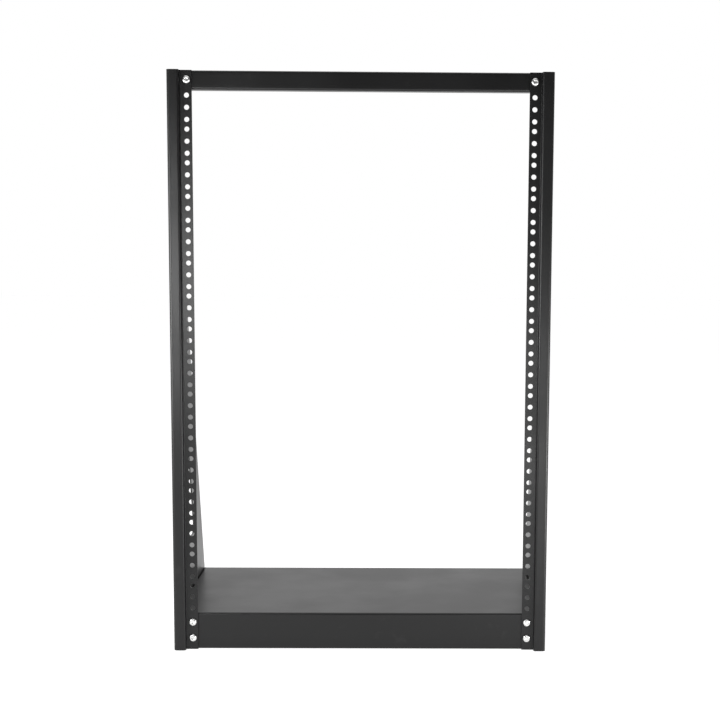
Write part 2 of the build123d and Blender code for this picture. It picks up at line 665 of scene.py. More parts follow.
def handling_marks() -> Tree:
    """Slow changes over a surface: clouds in the gloss, and faint rubbed patches with dust in them.

    Returns:
        The group, which gives Cloud and Mark.
    """
    effect = Effect("handling_marks", ("Cloud Scale", "Mark Scale"))
    cloud = effect.noise("Cloud Scale", detail=3.0, roughness=0.55)
    mark = effect.noise("Mark Scale", detail=4.0, roughness=0.62)
    effect.gives("Cloud", effect.span(cloud, ends=(0.3, 0.7)))
    effect.gives("Mark", effect.span(mark, ends=(0.58, 0.76)))
    return effect.tree


@dataclass
class Workshop:
    """Shared effects, each built once."""

    grain: Tree = field(default_factory=fine_grain)
    marks: Tree = field(default_factory=handling_marks)


@dataclass(frozen=True)
class Coating:
    """Coat with a fine grain, clouds in its gloss and faint marks.

    Attributes:
        name: Name of the material.
        clean: Colour of the clean coat.
        marked: Colour where it is rubbed, dusty or dull.
        gloss: Roughness where the coat lies smooth.
        matt: Roughness where it lies coarse.
        fleck: Roughness that a fleck in the grain adds.
        depth: Height of the texture.
        peel: Orange peel features in a metre.
        grain: Grain features in a metre.
        cloud: Clouds in a metre.
        mark: Marks in a metre.
        metallic: Whether it is metal, 0 or 1.
        ior: Its index of refraction.
    """

    name: str
    clean: Rgb
    marked: Rgb
    gloss: float
    matt: float
    fleck: float
    depth: float
    peel: float
    grain: float
    cloud: float
    mark: float
    metallic: float
    ior: float

    def material(self, workshop: Workshop) -> Material:
        """Build the material.

        Args:
            workshop: The shared effects.

        Returns:
            The material.
        """
        material = bpy.data.materials.new(self.name)
        material.use_nodes = True
        shading = Shading(material.node_tree)
        position = shading.add("TexCoord", {}).outputs["Object"]
        grain = shading.place(workshop.grain, {
            "Position": position, "Peel Scale": self.peel, "Grain Scale": self.grain})
        marks = shading.place(workshop.marks, {
            "Position": position, "Cloud Scale": self.cloud, "Mark Scale": self.mark})
        colour = shading.add("Mix", {})
        colour.data_type = "RGBA"
        shading.fill(colour, {"Factor": marks["Mark"], "A": (*self.clean, 1.0), "B": (*self.marked, 1.0)})
        slow = shading.between(marks["Cloud"], self.gloss, self.matt)
        fast = shading.between(grain["Fleck"], 0.0, self.fleck)
        bump = shading.add("Bump", {"Distance": self.depth, "Strength": 1.0, "Height": grain["Height"]})
        shading.fill(material.node_tree.nodes["Principled BSDF"], {
            "Metallic": self.metallic,
            "IOR": self.ior,
            "Base Color": colour.outputs["Result"],
            "Roughness": shading.math("ADD", slow, fast),
            "Normal": bump.outputs["Normal"],
        })
        return material


@dataclass(frozen=True)
class PowderCoat(Coating):
    """Satin black powder coat on sheet steel, with the sizes of Coating."""

    clean: Rgb = (0.0065, 0.0065, 0.0067)
    marked: Rgb = (0.013, 0.013, 0.0133)
    gloss: float = 0.32
    matt: float = 0.38
    fleck: float = 0.05
    depth: float = 0.02 * MM
    peel: float = 420.0
    grain: float = 1500.0
    cloud: float = 9.0
    mark: float = 38.0
    metallic: float = 0.0
    ior: float = 1.42


@dataclass(frozen=True)
class ZincPlate(Coating):
    """Bright zinc plate on screws and nuts, with the sizes of Coating."""

    clean: Rgb = (0.80, 0.80, 0.79)
    marked: Rgb = (0.62, 0.62, 0.60)
    gloss: float = 0.24
    matt: float = 0.36
    fleck: float = 0.08
    depth: float = 0.004 * MM
    peel: float = 900.0
    grain: float = 4200.0
    cloud: float = 260.0
    mark: float = 700.0
    metallic: float = 1.0
    ior: float = 1.5


# Sizes that more than one sub-assembly uses


def middle_of(node: str) -> Vector:
    """Find the middle of a node's box.

    Args:
        node: Name of the node.

    Returns:
        The middle.
    """
    low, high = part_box(node)
    return (low + high) / 2


@dataclass(frozen=True)
class RackSizes:
    """Sizes of the rack, read from the boxes of its nodes, with those of its hole grid.

    Attributes:
        web_outer: Outer face of the side panels.
        front: Front face of the front bands.
        rear: Rear edge of the side panels.
        height: Height of the uprights.
        flange_edge: Inner edge of the hole flanges.
        flange_back: Rear face of the hole flanges, where the crossbar and the tray lie.
        inset: Half of the width of the pieces between the side panels.
        bar_bottom: Lower face of the crossbar.
        bar_rear: Rear edge of the crossbar.
        tray_top: Top of the base tray.
        tray_rear: Rear face of the base tray.
        hole_column: Place of the right hole column.
        front_screws: Heights of the screws that hold the tray's front.
        bar_screw: Height of the screws that hold the crossbar.
        side_screws: Places along Y of the screws in the side panels.
        side_screw_level: Height of those.
        units: Number of units that the rack takes.
        unit: Height of a unit.
        row_share: Distance between the holes of a unit, as a share of its height.
        base_gap: Room between the tray and the first unit.
        rack_hole: Radius of an equipment hole.
        screw_hole: Radius of a hole for the rack's own screws.
    """

    web_outer: float
    front: float
    rear: float
    height: float
    flange_edge: float
    flange_back: float
    inset: float
    bar_bottom: float
    bar_rear: float
    tray_top: float
    tray_rear: float
    hole_column: float
    front_screws: Pair
    bar_screw: float
    side_screws: Pair
    side_screw_level: float

    units: int = 16
    unit: float = 44.45 * MM
    row_share: float = 5 / 14
    base_gap: float = 1.0 * MM
    rack_hole: float = 3.4 * MM
    screw_hole: float = 3.3 * MM

    @classmethod
    def from_frame(cls) -> "RackSizes":
        """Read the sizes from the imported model's nodes.

        Returns:
            The sizes.
        """
        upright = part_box("right_upright")
        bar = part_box("top_crossbar")
        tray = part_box("base_tray")
        front_screw, side_screw = "base_front_screw_right", "base_side_screw_right"
        return cls(
            web_outer=upright[1].x,
            front=upright[0].y,
            rear=upright[1].y,
            height=upright[1].z,
            flange_edge=upright[0].x,
            flange_back=bar[0].y,
            inset=bar[1].x,
            bar_bottom=bar[0].z,
            bar_rear=bar[1].y,
            tray_top=tray[1].z,
            tray_rear=tray[1].y,
            hole_column=middle_of("crossbar_screw_right").x,
            front_screws=tuple(middle_of(f"{front_screw}_{level}").z for level in ("lower", "upper")),
            bar_screw=middle_of("crossbar_screw_right").z,
            side_screws=tuple(middle_of(f"{side_screw}_{place}").y for place in ("front", "rear")),
            side_screw_level=middle_of(f"{side_screw}_front").z,
        )

    @property
    def both_columns(self) -> Pair:
        """Places of the left and the right hole column."""
        return -self.hole_column, self.hole_column

    def rack_holes(self) -> np.ndarray:
        """Heights of the equipment holes.

        There are three to each unit: one at its middle, and one a share of its height above and
        below that.

        Returns:
            The heights, rising.
        """
        units = np.arange(self.units)[:, None]
        rows = np.array([-1.0, 0.0, 1.0])[None, :] * self.row_share
        return (self.tray_top + self.base_gap + (0.5 + units + rows) * self.unit).ravel()

    def screw_holes(self, columns: Iterable[float], heights: Iterable[float]) -> List[Hole]:
        """Holes for the rack's own screws.

        Args:
            columns: First coordinates of their middles.
            heights: Their heights, each at every column.

        Returns:
            The holes.
        """
        return [Hole((column, height), self.screw_hole) for column in columns for height in heights]


# Sub-assemblies


@dataclass(frozen=True)
class Upright:
    """Side panel, front band, step back and hole flange, folded from one sheet.

    Attributes:
        sizes: Sizes of the rack.
        steel: Its sheet.
        side: Side of the rack that it stands on.
        ruling: How its flange and its rows are ruled.
        band: Width of the front band.
        outer_bend: Radius of the fold between side panel and band, at the middle of the sheet.
        top_depth: Depth of the side panel at its top.
        corner: Radius of the panel's rear corners.
        panel_steps: Steps over the depth of the panel, apart from the finely ruled stretches.
        screw_steps: Steps across a finely ruled stretch of the panel.
        window_front: How far behind the front face the cut-out starts.
        window_bottom: Height of its lower edge.
        window_margin: Depth of panel left behind it, all along the sloped edge.
        window_corner: Radius of its corners.
        window_rise: Lowest and highest line of the grid round the cut-out.
        window_reach_shares: Its first and last line along Y, as shares of the panel's depth.
        window_ring_shares: Rings between that grid and the cut-out, as shares of the way.
        apex_steps: Chords in each corner of the cut-out.
    """

    sizes: RackSizes
    steel: SheetSteel
    side: Side
    ruling: Ruling = Ruling(longest=5.6 * MM)
    band: float = 16.4 * MM
    outer_bend: float = 3.5 * MM
    top_depth: float = 35.5 * MM
    corner: float = 6.0 * MM
    panel_steps: int = 10
    screw_steps: int = 6
    window_front: float = 55.0 * MM
    window_bottom: float = 129.0 * MM
    window_margin: float = 76.0 * MM
    window_corner: float = 12.0 * MM
    window_rise: Pair = (100.0 * MM, 500.0 * MM)
    window_reach_shares: Pair = (0.09, 0.80)
    window_ring_shares: Tuple[float, ...] = (0.0, 0.4, 0.8, 1.0)
    apex_steps: int = 12

    def rear_edge(self) -> np.ndarray:
        """Rear edge of the side panel: upright as far as the tray's top, then sloped to the top.

        Returns:
            Points (y, z) of shape (n, 2), from the floor up.
        """
        sizes = self.sizes
        corners = [
            (sizes.rear, 0.0),
            (sizes.rear, sizes.tray_top),
            (sizes.front + self.top_depth, sizes.height),
            (sizes.front, sizes.height),
        ]
        return rounded_path(corners, self.corner, self.steel.bend_steps)[:-1]

    def section(self) -> np.ndarray:
        """Plan of the sheet's middle line, from the side panel round to the hole flange.

        It has only the folds and what lies between them: the panel and the flange go on from
        its ends.

        Returns:
            Points (x, y) of shape (n, 2), for the right-hand side.
        """
        sizes = self.sizes
        half = self.steel.half
        web = sizes.web_outer - half
        step = sizes.web_outer - self.band + half
        front = sizes.front + half
        flange = sizes.flange_back - half
        corners = [(web, 0.0), (web, front), (step, front), (step, flange), (sizes.flange_edge, flange)]
        outer = rounded_path(corners[:3], self.outer_bend, self.steel.bend_steps)
        step_back = self.steel.folded(corners[1:])
        return np.concatenate([outer[1:-1], step_back[1:-1]])

    def rows(self) -> np.ndarray:
        """Heights of the rows that all stretches of the upright share.

        Returns:
            The heights, rising, with those of the round of the top corner among them.
        """
        sizes = self.sizes
        holes = np.sort(np.concatenate([sizes.front_screws, sizes.rack_holes(), [sizes.bar_screw]]))
        lines = self.ruling.lines(0.0, sizes.height, holes)
        corner = self.rear_edge()[-self.steel.bend_steps - 1:-1, 1]
        return np.unique(np.concatenate([lines, corner]))

    def window(self) -> Tuple[np.ndarray, np.ndarray, np.ndarray]:
        """Edge of the cut-out: a triangle with round corners, its rear edge along the slope.

        The rear edge lies the margin in front of the panel's sloped edge, and the apex is where
        it meets the front edge.

        Returns:
            Its front part from the bottom up, its upper corner, and its rear part from the top
            down, as points (y, z).
        """
        sizes = self.sizes
        bottom = self.window_bottom
        slope = (sizes.rear - sizes.front - self.top_depth) / (sizes.height - sizes.tray_top)
        deepest = sizes.front + self.top_depth + slope * (sizes.height - bottom) - self.window_margin
        start = sizes.front + self.window_front
        apex = (start, bottom + (deepest - start) / slope)
        middle = ((start + deepest) / 2, bottom)
        corners = [middle, (start, bottom), apex, (deepest, bottom), middle]
        path = rounded_path(corners, self.window_corner, self.apex_steps)
        arc = self.apex_steps + 1
        return path[1:arc + 2], path[arc + 1:2 * arc + 1], path[2 * arc:-1]

    def add_panel(self, surface: MiddleSurface, rows: np.ndarray, fold_end: float) -> None:
        """Add the side panel, a grid between the front fold and the rear edge.

        A point at share t of the panel's depth and height z lies at y = fold + t * (edge(z) -
        fold). Where the cut-out is, rings lead from a block of that grid to its edge.

        Args:
            surface: Surface to add to.
            rows: Heights of the rows.
            fold_end: Y at which the front fold ends.
        """
        sizes = self.sizes
        fine = self.ruling.half
        edge = self.rear_edge()
        deep = sizes.rear - fold_end
        ruling = Ruling(deep / self.panel_steps, fine, self.screw_steps)
        lines = ruling.lines(fold_end, sizes.rear, sizes.side_screws)
        shares = (lines - fold_end) / deep
        depth = np.interp(rows, edge[:, 1], edge[:, 0]) - fold_end
        along = fold_end + shares[:, None] * depth[None, :]
        plane = np.stack([along, np.broadcast_to(rows, along.shape)], axis=-1)
        kept = np.ones((len(shares) - 1, len(rows) - 1), bool)
        place = on_plane(Axis.X, self.side.value * (sizes.web_outer - self.steel.half))

        for hole in sizes.screw_holes(sizes.side_screws, [sizes.side_screw_level]):
            span = span_round(lines, hole.centre[0], fine - WELD)
            rise = span_round(rows, hole.centre[1], hole.radius + fine / 4)
            surface.add_hole(plane, (*span, *rise), kept, hole, place)

        i0, i1 = (int(np.argmin(np.abs(shares - share))) for share in self.window_reach_shares)
        j0, j1 = (int(np.argmin(np.abs(rows - height))) for height in self.window_rise)
        kept[i0:i1, j0:j1] = False
        front, upper, rear = self.window()
        runs = (np.stack([front[0], rear[-1]]), rear[::-1], upper[::-1], front[::-1])
        counts = (i1 - i0, j1 - j0, i1 - i0, j1 - j0)
        inner = np.concatenate([resampled(run, count + 1)[:-1] for run, count in zip(runs, counts)])
        surface.add_ring(block_edge(plane, (i0, i1, j0, j1)), inner, self.window_ring_shares, place)
        surface.add_grid(place(plane), kept)

    def make(self, coat: Material) -> None:
        """Make the upright and dress it.

        Args:
            coat: Its finish.
        """
        sizes = self.sizes
        sign = self.side.value
        surface = MiddleSurface()
        rows = self.rows()
        section = subdivided(self.section(), self.ruling.half)
        surface.add_swept(section * (sign, 1.0), rows, Axis.Z)

        columns = np.linspace(sizes.flange_edge, section[-1, 0], self.ruling.steps + 1)
        holes = [Hole((sizes.hole_column, height), sizes.rack_hole) for height in sizes.rack_holes()]
        holes += sizes.screw_holes([sizes.hole_column], (*sizes.front_screws, sizes.bar_screw))
        flange = on_plane(Axis.Y, sizes.flange_back - self.steel.half, sign)
        surface.add_pierced(columns, rows, flange, holes, self.ruling.half)

        self.add_panel(surface, rows, section[0, 1])
        piece = surface.make(f"{self.side.word}_upright_sheet")
        self.steel.thicken(piece)
        hand_over(piece, coat, f"{self.side.word}_upright")


@dataclass(frozen=True)
class Crossbar:
    """Shallow channel behind the tops of the flanges, open to the rear.

    Attributes:
        sizes: Sizes of the rack.
        steel: Its sheet.
        ruling: How it is ruled.
    """

    sizes: RackSizes
    steel: SheetSteel
    ruling: Ruling = Ruling(longest=45.0 * MM)

    def make(self, coat: Material) -> None:
        """Make the crossbar and dress it.

        Args:
            coat: Its finish.
        """
        sizes = self.sizes
        half = self.steel.half
        bottom, top = sizes.bar_bottom + half, sizes.height - half
        front = sizes.flange_back + half
        rear = sizes.bar_rear
        path = self.steel.folded([(rear, bottom), (front, bottom), (front, top), (rear, top)])
        columns = self.ruling.lines(-sizes.inset, sizes.inset, sizes.both_columns)
        surface = MiddleSurface()
        holes = sizes.screw_holes(sizes.both_columns, [sizes.bar_screw])
        surface.add_channel(path, self.steel.bend_steps + 2, columns, self.ruling, [sizes.bar_screw], holes)
        piece = surface.make("top_crossbar_channel")
        self.steel.thicken(piece)
        hand_over(piece, coat, "top_crossbar")


@dataclass(frozen=True)
class BaseTray:
    """Flat base, folded down on four sides, with a return under its front and rear.

    Attributes:
        sizes: Sizes of the rack.
        steel: Its sheet.
        ruling: How it is ruled.
        return_depth: Depth of the returns along the floor.
        lip_lift: How far above the floor the side lips end.
        relief: Length of the notches between the folds at the corners.
    """

    sizes: RackSizes
    steel: SheetSteel
    ruling: Ruling = Ruling(longest=36.0 * MM)
    return_depth: float = 14.0 * MM
    lip_lift: float = 6.0 * MM
    relief: float = 3.0 * MM

    def add_end(self, surface: MiddleSurface, columns: np.ndarray, fold: float, face: float,
                holes: Sequence[Hole]) -> None:
        """Add the front or the rear: the fold from the top, the lip and its return.

        Args:
            surface: Surface to add to.
            columns: Places of the lines along X.
            fold: Y at which the top ends and the fold starts.
            face: Y of the lip's middle.
            holes: Holes in the lip.
        """
        half = self.steel.half
        top = self.sizes.tray_top - half
        back = face + math.copysign(self.return_depth, fold - face)
        path = self.steel.folded([(fold, top), (face, top), (face, half), (back, half)])
        arc = self.steel.bend_steps + 1
        surface.add_channel(path[1:], arc, columns, self.ruling, self.sizes.front_screws, holes)

    def add_side(self, surface: MiddleSurface, side: Side, lines: np.ndarray, fold: float) -> None:
        """Add the fold and the lip along one side panel.

        Args:
            surface: Surface to add to.
            side: Side of the rack.
            lines: Places of the lines along Y that the lip shares with the top.
            fold: X, without its sign, at which the top ends and the fold starts.
        """
        sizes = self.sizes
        half = self.steel.half
        face = sizes.inset - half
        top = sizes.tray_top - half
        path = self.steel.folded([(fold, top), (face, top), (face, self.lip_lift)])[1:-1]
        surface.add_swept(path * (side.value, 1.0), lines, Axis.Y)
        rows = self.ruling.lines(self.lip_lift, path[-1, 1], [sizes.side_screw_level])
        holes = sizes.screw_holes(sizes.side_screws, [sizes.side_screw_level])
        surface.add_pierced(lines, rows, on_plane(Axis.X, side.value * face), holes, self.ruling.half)

    def make(self, coat: Material) -> None:
        """Make the tray and dress it.

        Args:
            coat: Its finish.
        """
        sizes = self.sizes
        steel = self.steel
        faces = (sizes.flange_back + steel.half, sizes.tray_rear - steel.half)
        folds = (faces[0] + steel.bend, faces[1] - steel.bend)
        side_fold = sizes.inset - steel.half - steel.bend
        inner = self.ruling.lines(-side_fold, side_fold, sizes.both_columns)
        columns = np.concatenate([[-sizes.inset], inner, [sizes.inset]])
        lip = self.ruling.lines(folds[0] + self.relief, folds[1] - self.relief, sizes.side_screws)
        lines = np.concatenate([[folds[0]], lip, [folds[1]]])

        surface = MiddleSurface()
        level = np.stack([inner, np.full_like(inner, sizes.tray_top - steel.half)], axis=1)
        surface.add_swept(level, lines, Axis.Y)
        front_holes = sizes.screw_holes(sizes.both_columns, sizes.front_screws)
        for fold, face, holes in zip(folds, faces, (front_holes, [])):
            self.add_end(surface, columns, fold, face, holes)
        for side in Side:
            self.add_side(surface, side, lip, side_fold)
        piece = surface.make("base_tray_sheet")
        steel.thicken(piece)
        hand_over(piece, coat, "base_tray")


@dataclass(frozen=True)
class TurnedForm:
    """Sizes that screws and nuts share, and how their surfaces are turned.

    Attributes:
        thread: Outer diameter of the thread.
        pitch: Rise of the thread in one turn.
        thread_depth: Depth of the thread.
        spokes: Points round the axis, a multiple of six.
        thread_steps: Rows in one turn of the thread.
    """

    thread: float = 6.0 * MM
    pitch: float = 1.0 * MM
    thread_depth: float = 0.5 * MM
    spokes: int = 48
    thread_steps: int = 8

    def angles(self) -> np.ndarray:
        """Angles round the axis, once round, without the last."""
        return np.arange(self.spokes) * 2 * math.pi / self.spokes

    def hexagon(self, across_flats: float) -> np.ndarray:
        """Distance from the axis to a hexagon's sides, for each angle.

        It is half of the width over the flats, divided by the cosine of the angle to the
        nearest flat's middle.

        Args:
            across_flats: Width over the flats.

        Returns:
            Distances of shape (spokes,).
        """
        step = 2 * math.pi / HEX_SIDES
        turned = np.mod(self.angles(), step) - step / 2
        return across_flats / 2 / np.cos(turned)

    def thread_levels(self, low: float, high: float, turned: float) -> Tuple[np.ndarray, np.ndarray]:
        """Levels of the rows of a thread, and its shape there for each angle.

        The ridge is a triangle wave of the level less the share of a turn, so that it winds.

        Args:
            low: First level.
            high: Last level.
            turned: Length that gives the number of rows.

        Returns:
            Levels, and values from 0 in the groove to 1 on the crest, of shape (levels, spokes).
        """
        levels = np.linspace(low, high, round(turned / self.pitch * self.thread_steps) + 1)
        phase = levels[:, None] / self.pitch - self.angles()[None, :] / (2 * math.pi)
        return levels, 1.0 - np.abs(2.0 * np.mod(phase, 1.0) - 1.0)


@dataclass(frozen=True)
class Seat:
    """Place of a screw or nut: its axis and the sheet face that it lies on.

    Attributes:
        facing: Way that its axis points.
        side: Side of the rack.
        origin: Middle of the face that it lies on.
        spin: Turn round its axis, in radians.
    """

    facing: Facing
    side: Side
    origin: Triple
    spin: float

    def place(self, u: np.ndarray, v: np.ndarray, w: np.ndarray) -> np.ndarray:
        """Turn local coordinates, with w out along the axis, into points of the rack.

        Args:
            u: First coordinate across the axis.
            v: Second coordinate across the axis.
            w: Coordinate along the axis.

        Returns:
            Points, with one more axis than u.
        """
        cosine, sine = math.cos(self.spin), math.sin(self.spin)
        across, up = u * cosine - v * sine, u * sine + v * cosine
        local = (across, -w, up) if self.facing is Facing.FRONT else (self.side.value * w, across, up)
        return np.stack(local, axis=-1) + np.array(self.origin)

    def turn(self, name: str, rings: Sequence[Ring], form: TurnedForm, closed: bool) -> Piece:
        """Make a piece of rings round the axis.

        A point of a ring with distance r and angle a lies at (r cos a, r sin a) round it.

        Args:
            name: Name of the piece.
            rings: Distance from the axis and level along it, each as one value or for every angle.
            form: Says the angles.
            closed: Whether the last ring meets the first, as on a nut. Otherwise the ends are
                poles on the axis.

        Returns:
            The new object, with smooth faces that point outwards.
        """
        angles = form.angles()
        radius, level = (np.array([np.broadcast_to(ring[part], angles.shape) for ring in rings])
                         for part in (0, 1))
        points = self.place(radius * np.cos(angles), radius * np.sin(angles), level).reshape(-1, 3)
        index = np.arange(radius.size).reshape(radius.shape)
        if closed:
            index = np.concatenate([index, index[:1]])
        around = np.roll(index, -1, axis=1)
        quads = np.stack([index[:-1], index[1:], around[1:], around[:-1]], axis=-1).reshape(-1, 4)
        piece = welded_piece(name, points, quads, WELD / 10)
        piece.data.shade_smooth()
        keep_flats_flat(piece)
        return piece


@dataclass(frozen=True)
class ButtonScrew:
    """Screw with a button head and a hexagon socket.

    Attributes:
        form: Its thread and resolution.
        head: Diameter of the head.
        height: Height of the head.
        rim: Height of the upright rim of the head.
        crown_steps: Steps from the socket's mouth down to the rim.
        crown_power: Power of the cosine that gives the crown its shape.
        socket: Width of the socket over its flats.
        depth: Depth of the socket.
        bevel: Depth of the bevel at its mouth.
        dip: Depth of the cone in the socket's floor.
        dip_reach: Radius of that cone.
        length: Length under the head.
        ease: Rounding of its edges.
        plain: Length of the shank under the head that is not threaded.
    """

    form: TurnedForm
    head: float = 10.5 * MM
    height: float = 3.3 * MM
    rim: float = 0.7 * MM
    crown_steps: int = 8
    crown_power: float = 0.9
    socket: float = 4.0 * MM
    depth: float = 2.1 * MM
    bevel: float = 0.5 * MM
    dip: float = 0.5 * MM
    dip_reach: float = 1.8 * MM
    length: float = 12.0 * MM
    ease: float = 0.2 * MM
    plain: float = 7.0 * MM

    def rings(self) -> List[Ring]:
        """Rings from the bottom of the socket over the head and down to the tip.

        Over the crown, at a turn t from 0 to a right angle, the radius grows with sin t and the
        level falls to the rim with a power of cos t. The thread runs out within one pitch of the
        tip.

        Returns:
            The rings.
        """
        form, ease = self.form, self.ease
        hexagon = form.hexagon(self.socket)
        mouth = float(hexagon.max()) + ease
        floor = self.height - self.depth
        outer, shank = self.head / 2, form.thread / 2
        crown = mouth + ease / 2
        rings = [
            (0.0, floor - self.dip),
            (self.dip_reach, floor),
            (hexagon - ease / 2, floor),
            (hexagon, floor + ease / 2),
            (hexagon, self.height - self.bevel),
            ((hexagon + mouth) / 2, self.height - ease),
            (mouth, self.height - ease / 3),
        ]
        for turn in np.linspace(0.0, math.pi / 2, self.crown_steps + 1):
            fall = self.rim + (self.height - self.rim) * math.cos(turn) ** self.crown_power
            rings.append((crown + (outer - crown) * math.sin(turn), fall))
        rings += [
            (outer, ease),
            (outer - ease / 3, ease / 3),
            (outer - ease, 0.0),
            (shank + ease, 0.0),
            (shank, -ease),
            (shank, ease - self.plain),
        ]
        levels, ridge = form.thread_levels(-self.plain, ease - self.length, self.length - self.plain)
        fade = np.clip((levels + self.length) / form.pitch, 0.0, 1.0)[:, None]
        rings += zip(shank - form.thread_depth * (1.0 - ridge * np.sqrt(fade)), levels)
        rings += [(shank - form.thread_depth - ease, -self.length), (0.0, -self.length)]
        return rings

    def make(self, name: str, seat: Seat) -> Piece:
        """Make the screw at its seat.

        Args:
            name: Name of the piece.
            seat: Its place.

        Returns:
            The piece.
        """
        return seat.turn(name, self.rings(), self.form, closed=False)


@dataclass(frozen=True)
class HexNut:
    """Hexagon nut, its outer corners turned down to a cone.

    Attributes:
        form: Its thread and resolution.
        flats: Width over the flats.
        height: Height.
        cone: Height that the cone takes off the corners.
        cone_angle: Angle of the cone to the nut's face, in degrees.
        cone_share: Radius of the cone at the face, as a share of half of the width.
        cone_steps: Steps down the cone.
        ease: Rounding of its edges.
        bore_gap: Room between the nut's thread and the screw's.
    """

    form: TurnedForm
    flats: float = 10.0 * MM
    height: float = 5.2 * MM
    cone: float = 0.75 * MM
    cone_angle: float = 30.0
    cone_share: float = 0.97
    cone_steps: int = 6
    ease: float = 0.12 * MM
    bore_gap: float = 0.05 * MM

    def rings(self) -> List[Ring]:
        """Rings round the section, from the bore's upper end over the outside and back.

        The outside is the hexagon or the cone, whichever is nearer to the axis. Down from the
        face, the cone's radius grows by the level over the tangent of its angle.

        Returns:
            The rings.
        """
        form = self.form
        hexagon = form.hexagon(self.flats)
        bore = form.thread / 2 + self.bore_gap
        mouth = bore + 2 * self.ease
        top = self.flats / 2 * self.cone_share
        spread = 1 / math.tan(math.radians(self.cone_angle))
        down = [*np.linspace(0.0, self.cone, self.cone_steps + 1), self.height - self.ease]
        rings = [(mouth, 0.0)]
        rings += [(np.minimum(hexagon, top + level * spread), -level) for level in down]
        rings += [(hexagon - self.ease, -self.height), (mouth, -self.height)]
        levels, ridge = form.thread_levels(self.ease - self.height, -self.ease, self.height)
        rings += zip(bore - form.thread_depth * (1.0 - ridge), levels)
        return rings

    def make(self, name: str, seat: Seat) -> Piece:
        """Make the nut at its seat, its coned end to the inside of the rack.

        Args:
            name: Name of the piece.
            seat: Its place.

        Returns:
            The piece.
        """
        flipped = [(radius, -self.height - level) for radius, level in self.rings()]
        return seat.turn(name, flipped, self.form, closed=True)


@dataclass(frozen=True)
class Fasteners:
    """All screws and nuts, each at the node that it stands for.

    Attributes:
        screw: The screw.
        nut: The nut.
        seed: Seed of the turns round their axes.
    """

    screw: ButtonScrew
    nut: HexNut
    seed: int = 7

    def seat(self, node: str, spin: float) -> Seat:
        """Read the place of a screw or nut from its node.

        A screw's seat is its head's height behind the outer end of its box, and a nut's seat
        is the outer end of its box itself.

        Args:
            node: Name of the node.
            spin: Turn round its axis.

        Returns:
            The seat.
        """
        low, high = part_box(node)
        middle = middle_of(node)
        side = Side.LEFT if "_left" in node else Side.RIGHT
        facing = Facing.SIDE if "_side_" in node else Facing.FRONT
        sunk = self.screw.height if "_screw_" in node else 0.0
        if facing is Facing.FRONT:
            return Seat(facing, side, (middle.x, low.y + sunk, middle.z), spin)
        outer = high.x - sunk if side is Side.RIGHT else low.x + sunk
        return Seat(facing, side, (outer, middle.y, middle.z), spin)

    def make(self, screw_finish: Material, nut_finish: Material) -> None:
        """Make and dress all of them.

        Args:
            screw_finish: Finish of the screws.
            nut_finish: Finish of the nuts.
        """
        random = np.random.default_rng(self.seed)
        for node in sorted(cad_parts):
            if "_screw_" in node:
                spin = float(random.uniform(0.0, 2 * math.pi / HEX_SIDES))
                piece = self.screw.make(f"{node}_plated", self.seat(node, spin))
                hand_over(piece, screw_finish, node)
            elif "_nut_" in node:
                piece = self.nut.make(f"{node}_plated", self.seat(node, 0.0))
                hand_over(piece, nut_finish, node)


# Studio


def set_axes(holder: Piece, x: np.ndarray, y: np.ndarray, z: np.ndarray, place: Triple) -> None:
    """Turn and place an object by its three axes.

    Args:
        holder: The object.
        x: Its X axis, of length one.
        y: Its Y axis, of length one.
        z: Its Z axis, of length one.
        place: Its place.
    """
    matrix = np.identity(4)
    matrix[:3] = np.stack([x, y, z, place], axis=1)
    holder.matrix_world = Matrix(matrix.tolist())


@dataclass(frozen=True)
class Softbox:
    """Rectangular studio lamp.

    Attributes:
        name: Its name.
        place: Where it hangs.
        target: What it is turned to.
        width: Its width.
        height: Its height.
        power: Its power in watts.
    """

    name: str
    place: Triple
    target: Triple
    width: float
    height: float
    power: float

    def hang(self) -> None:
        """Make the lamp and turn it."""
        lamp = bpy.data.lights.new(self.name, "AREA")
        lamp.shape = "RECTANGLE"
        lamp.size = self.width
        lamp.size_y = self.height
        lamp.energy = self.power
        holder = bpy.data.objects.new(self.name, lamp)
        bpy.context.scene.collection.objects.link(holder)
        ahead = unit(np.array(self.target) - np.array(self.place))
        right = unit(np.cross(ahead, (0.0, 0.0, 1.0)))
        set_axes(holder, right, np.cross(right, ahead), -ahead, self.place)
        holder.visible_camera = False


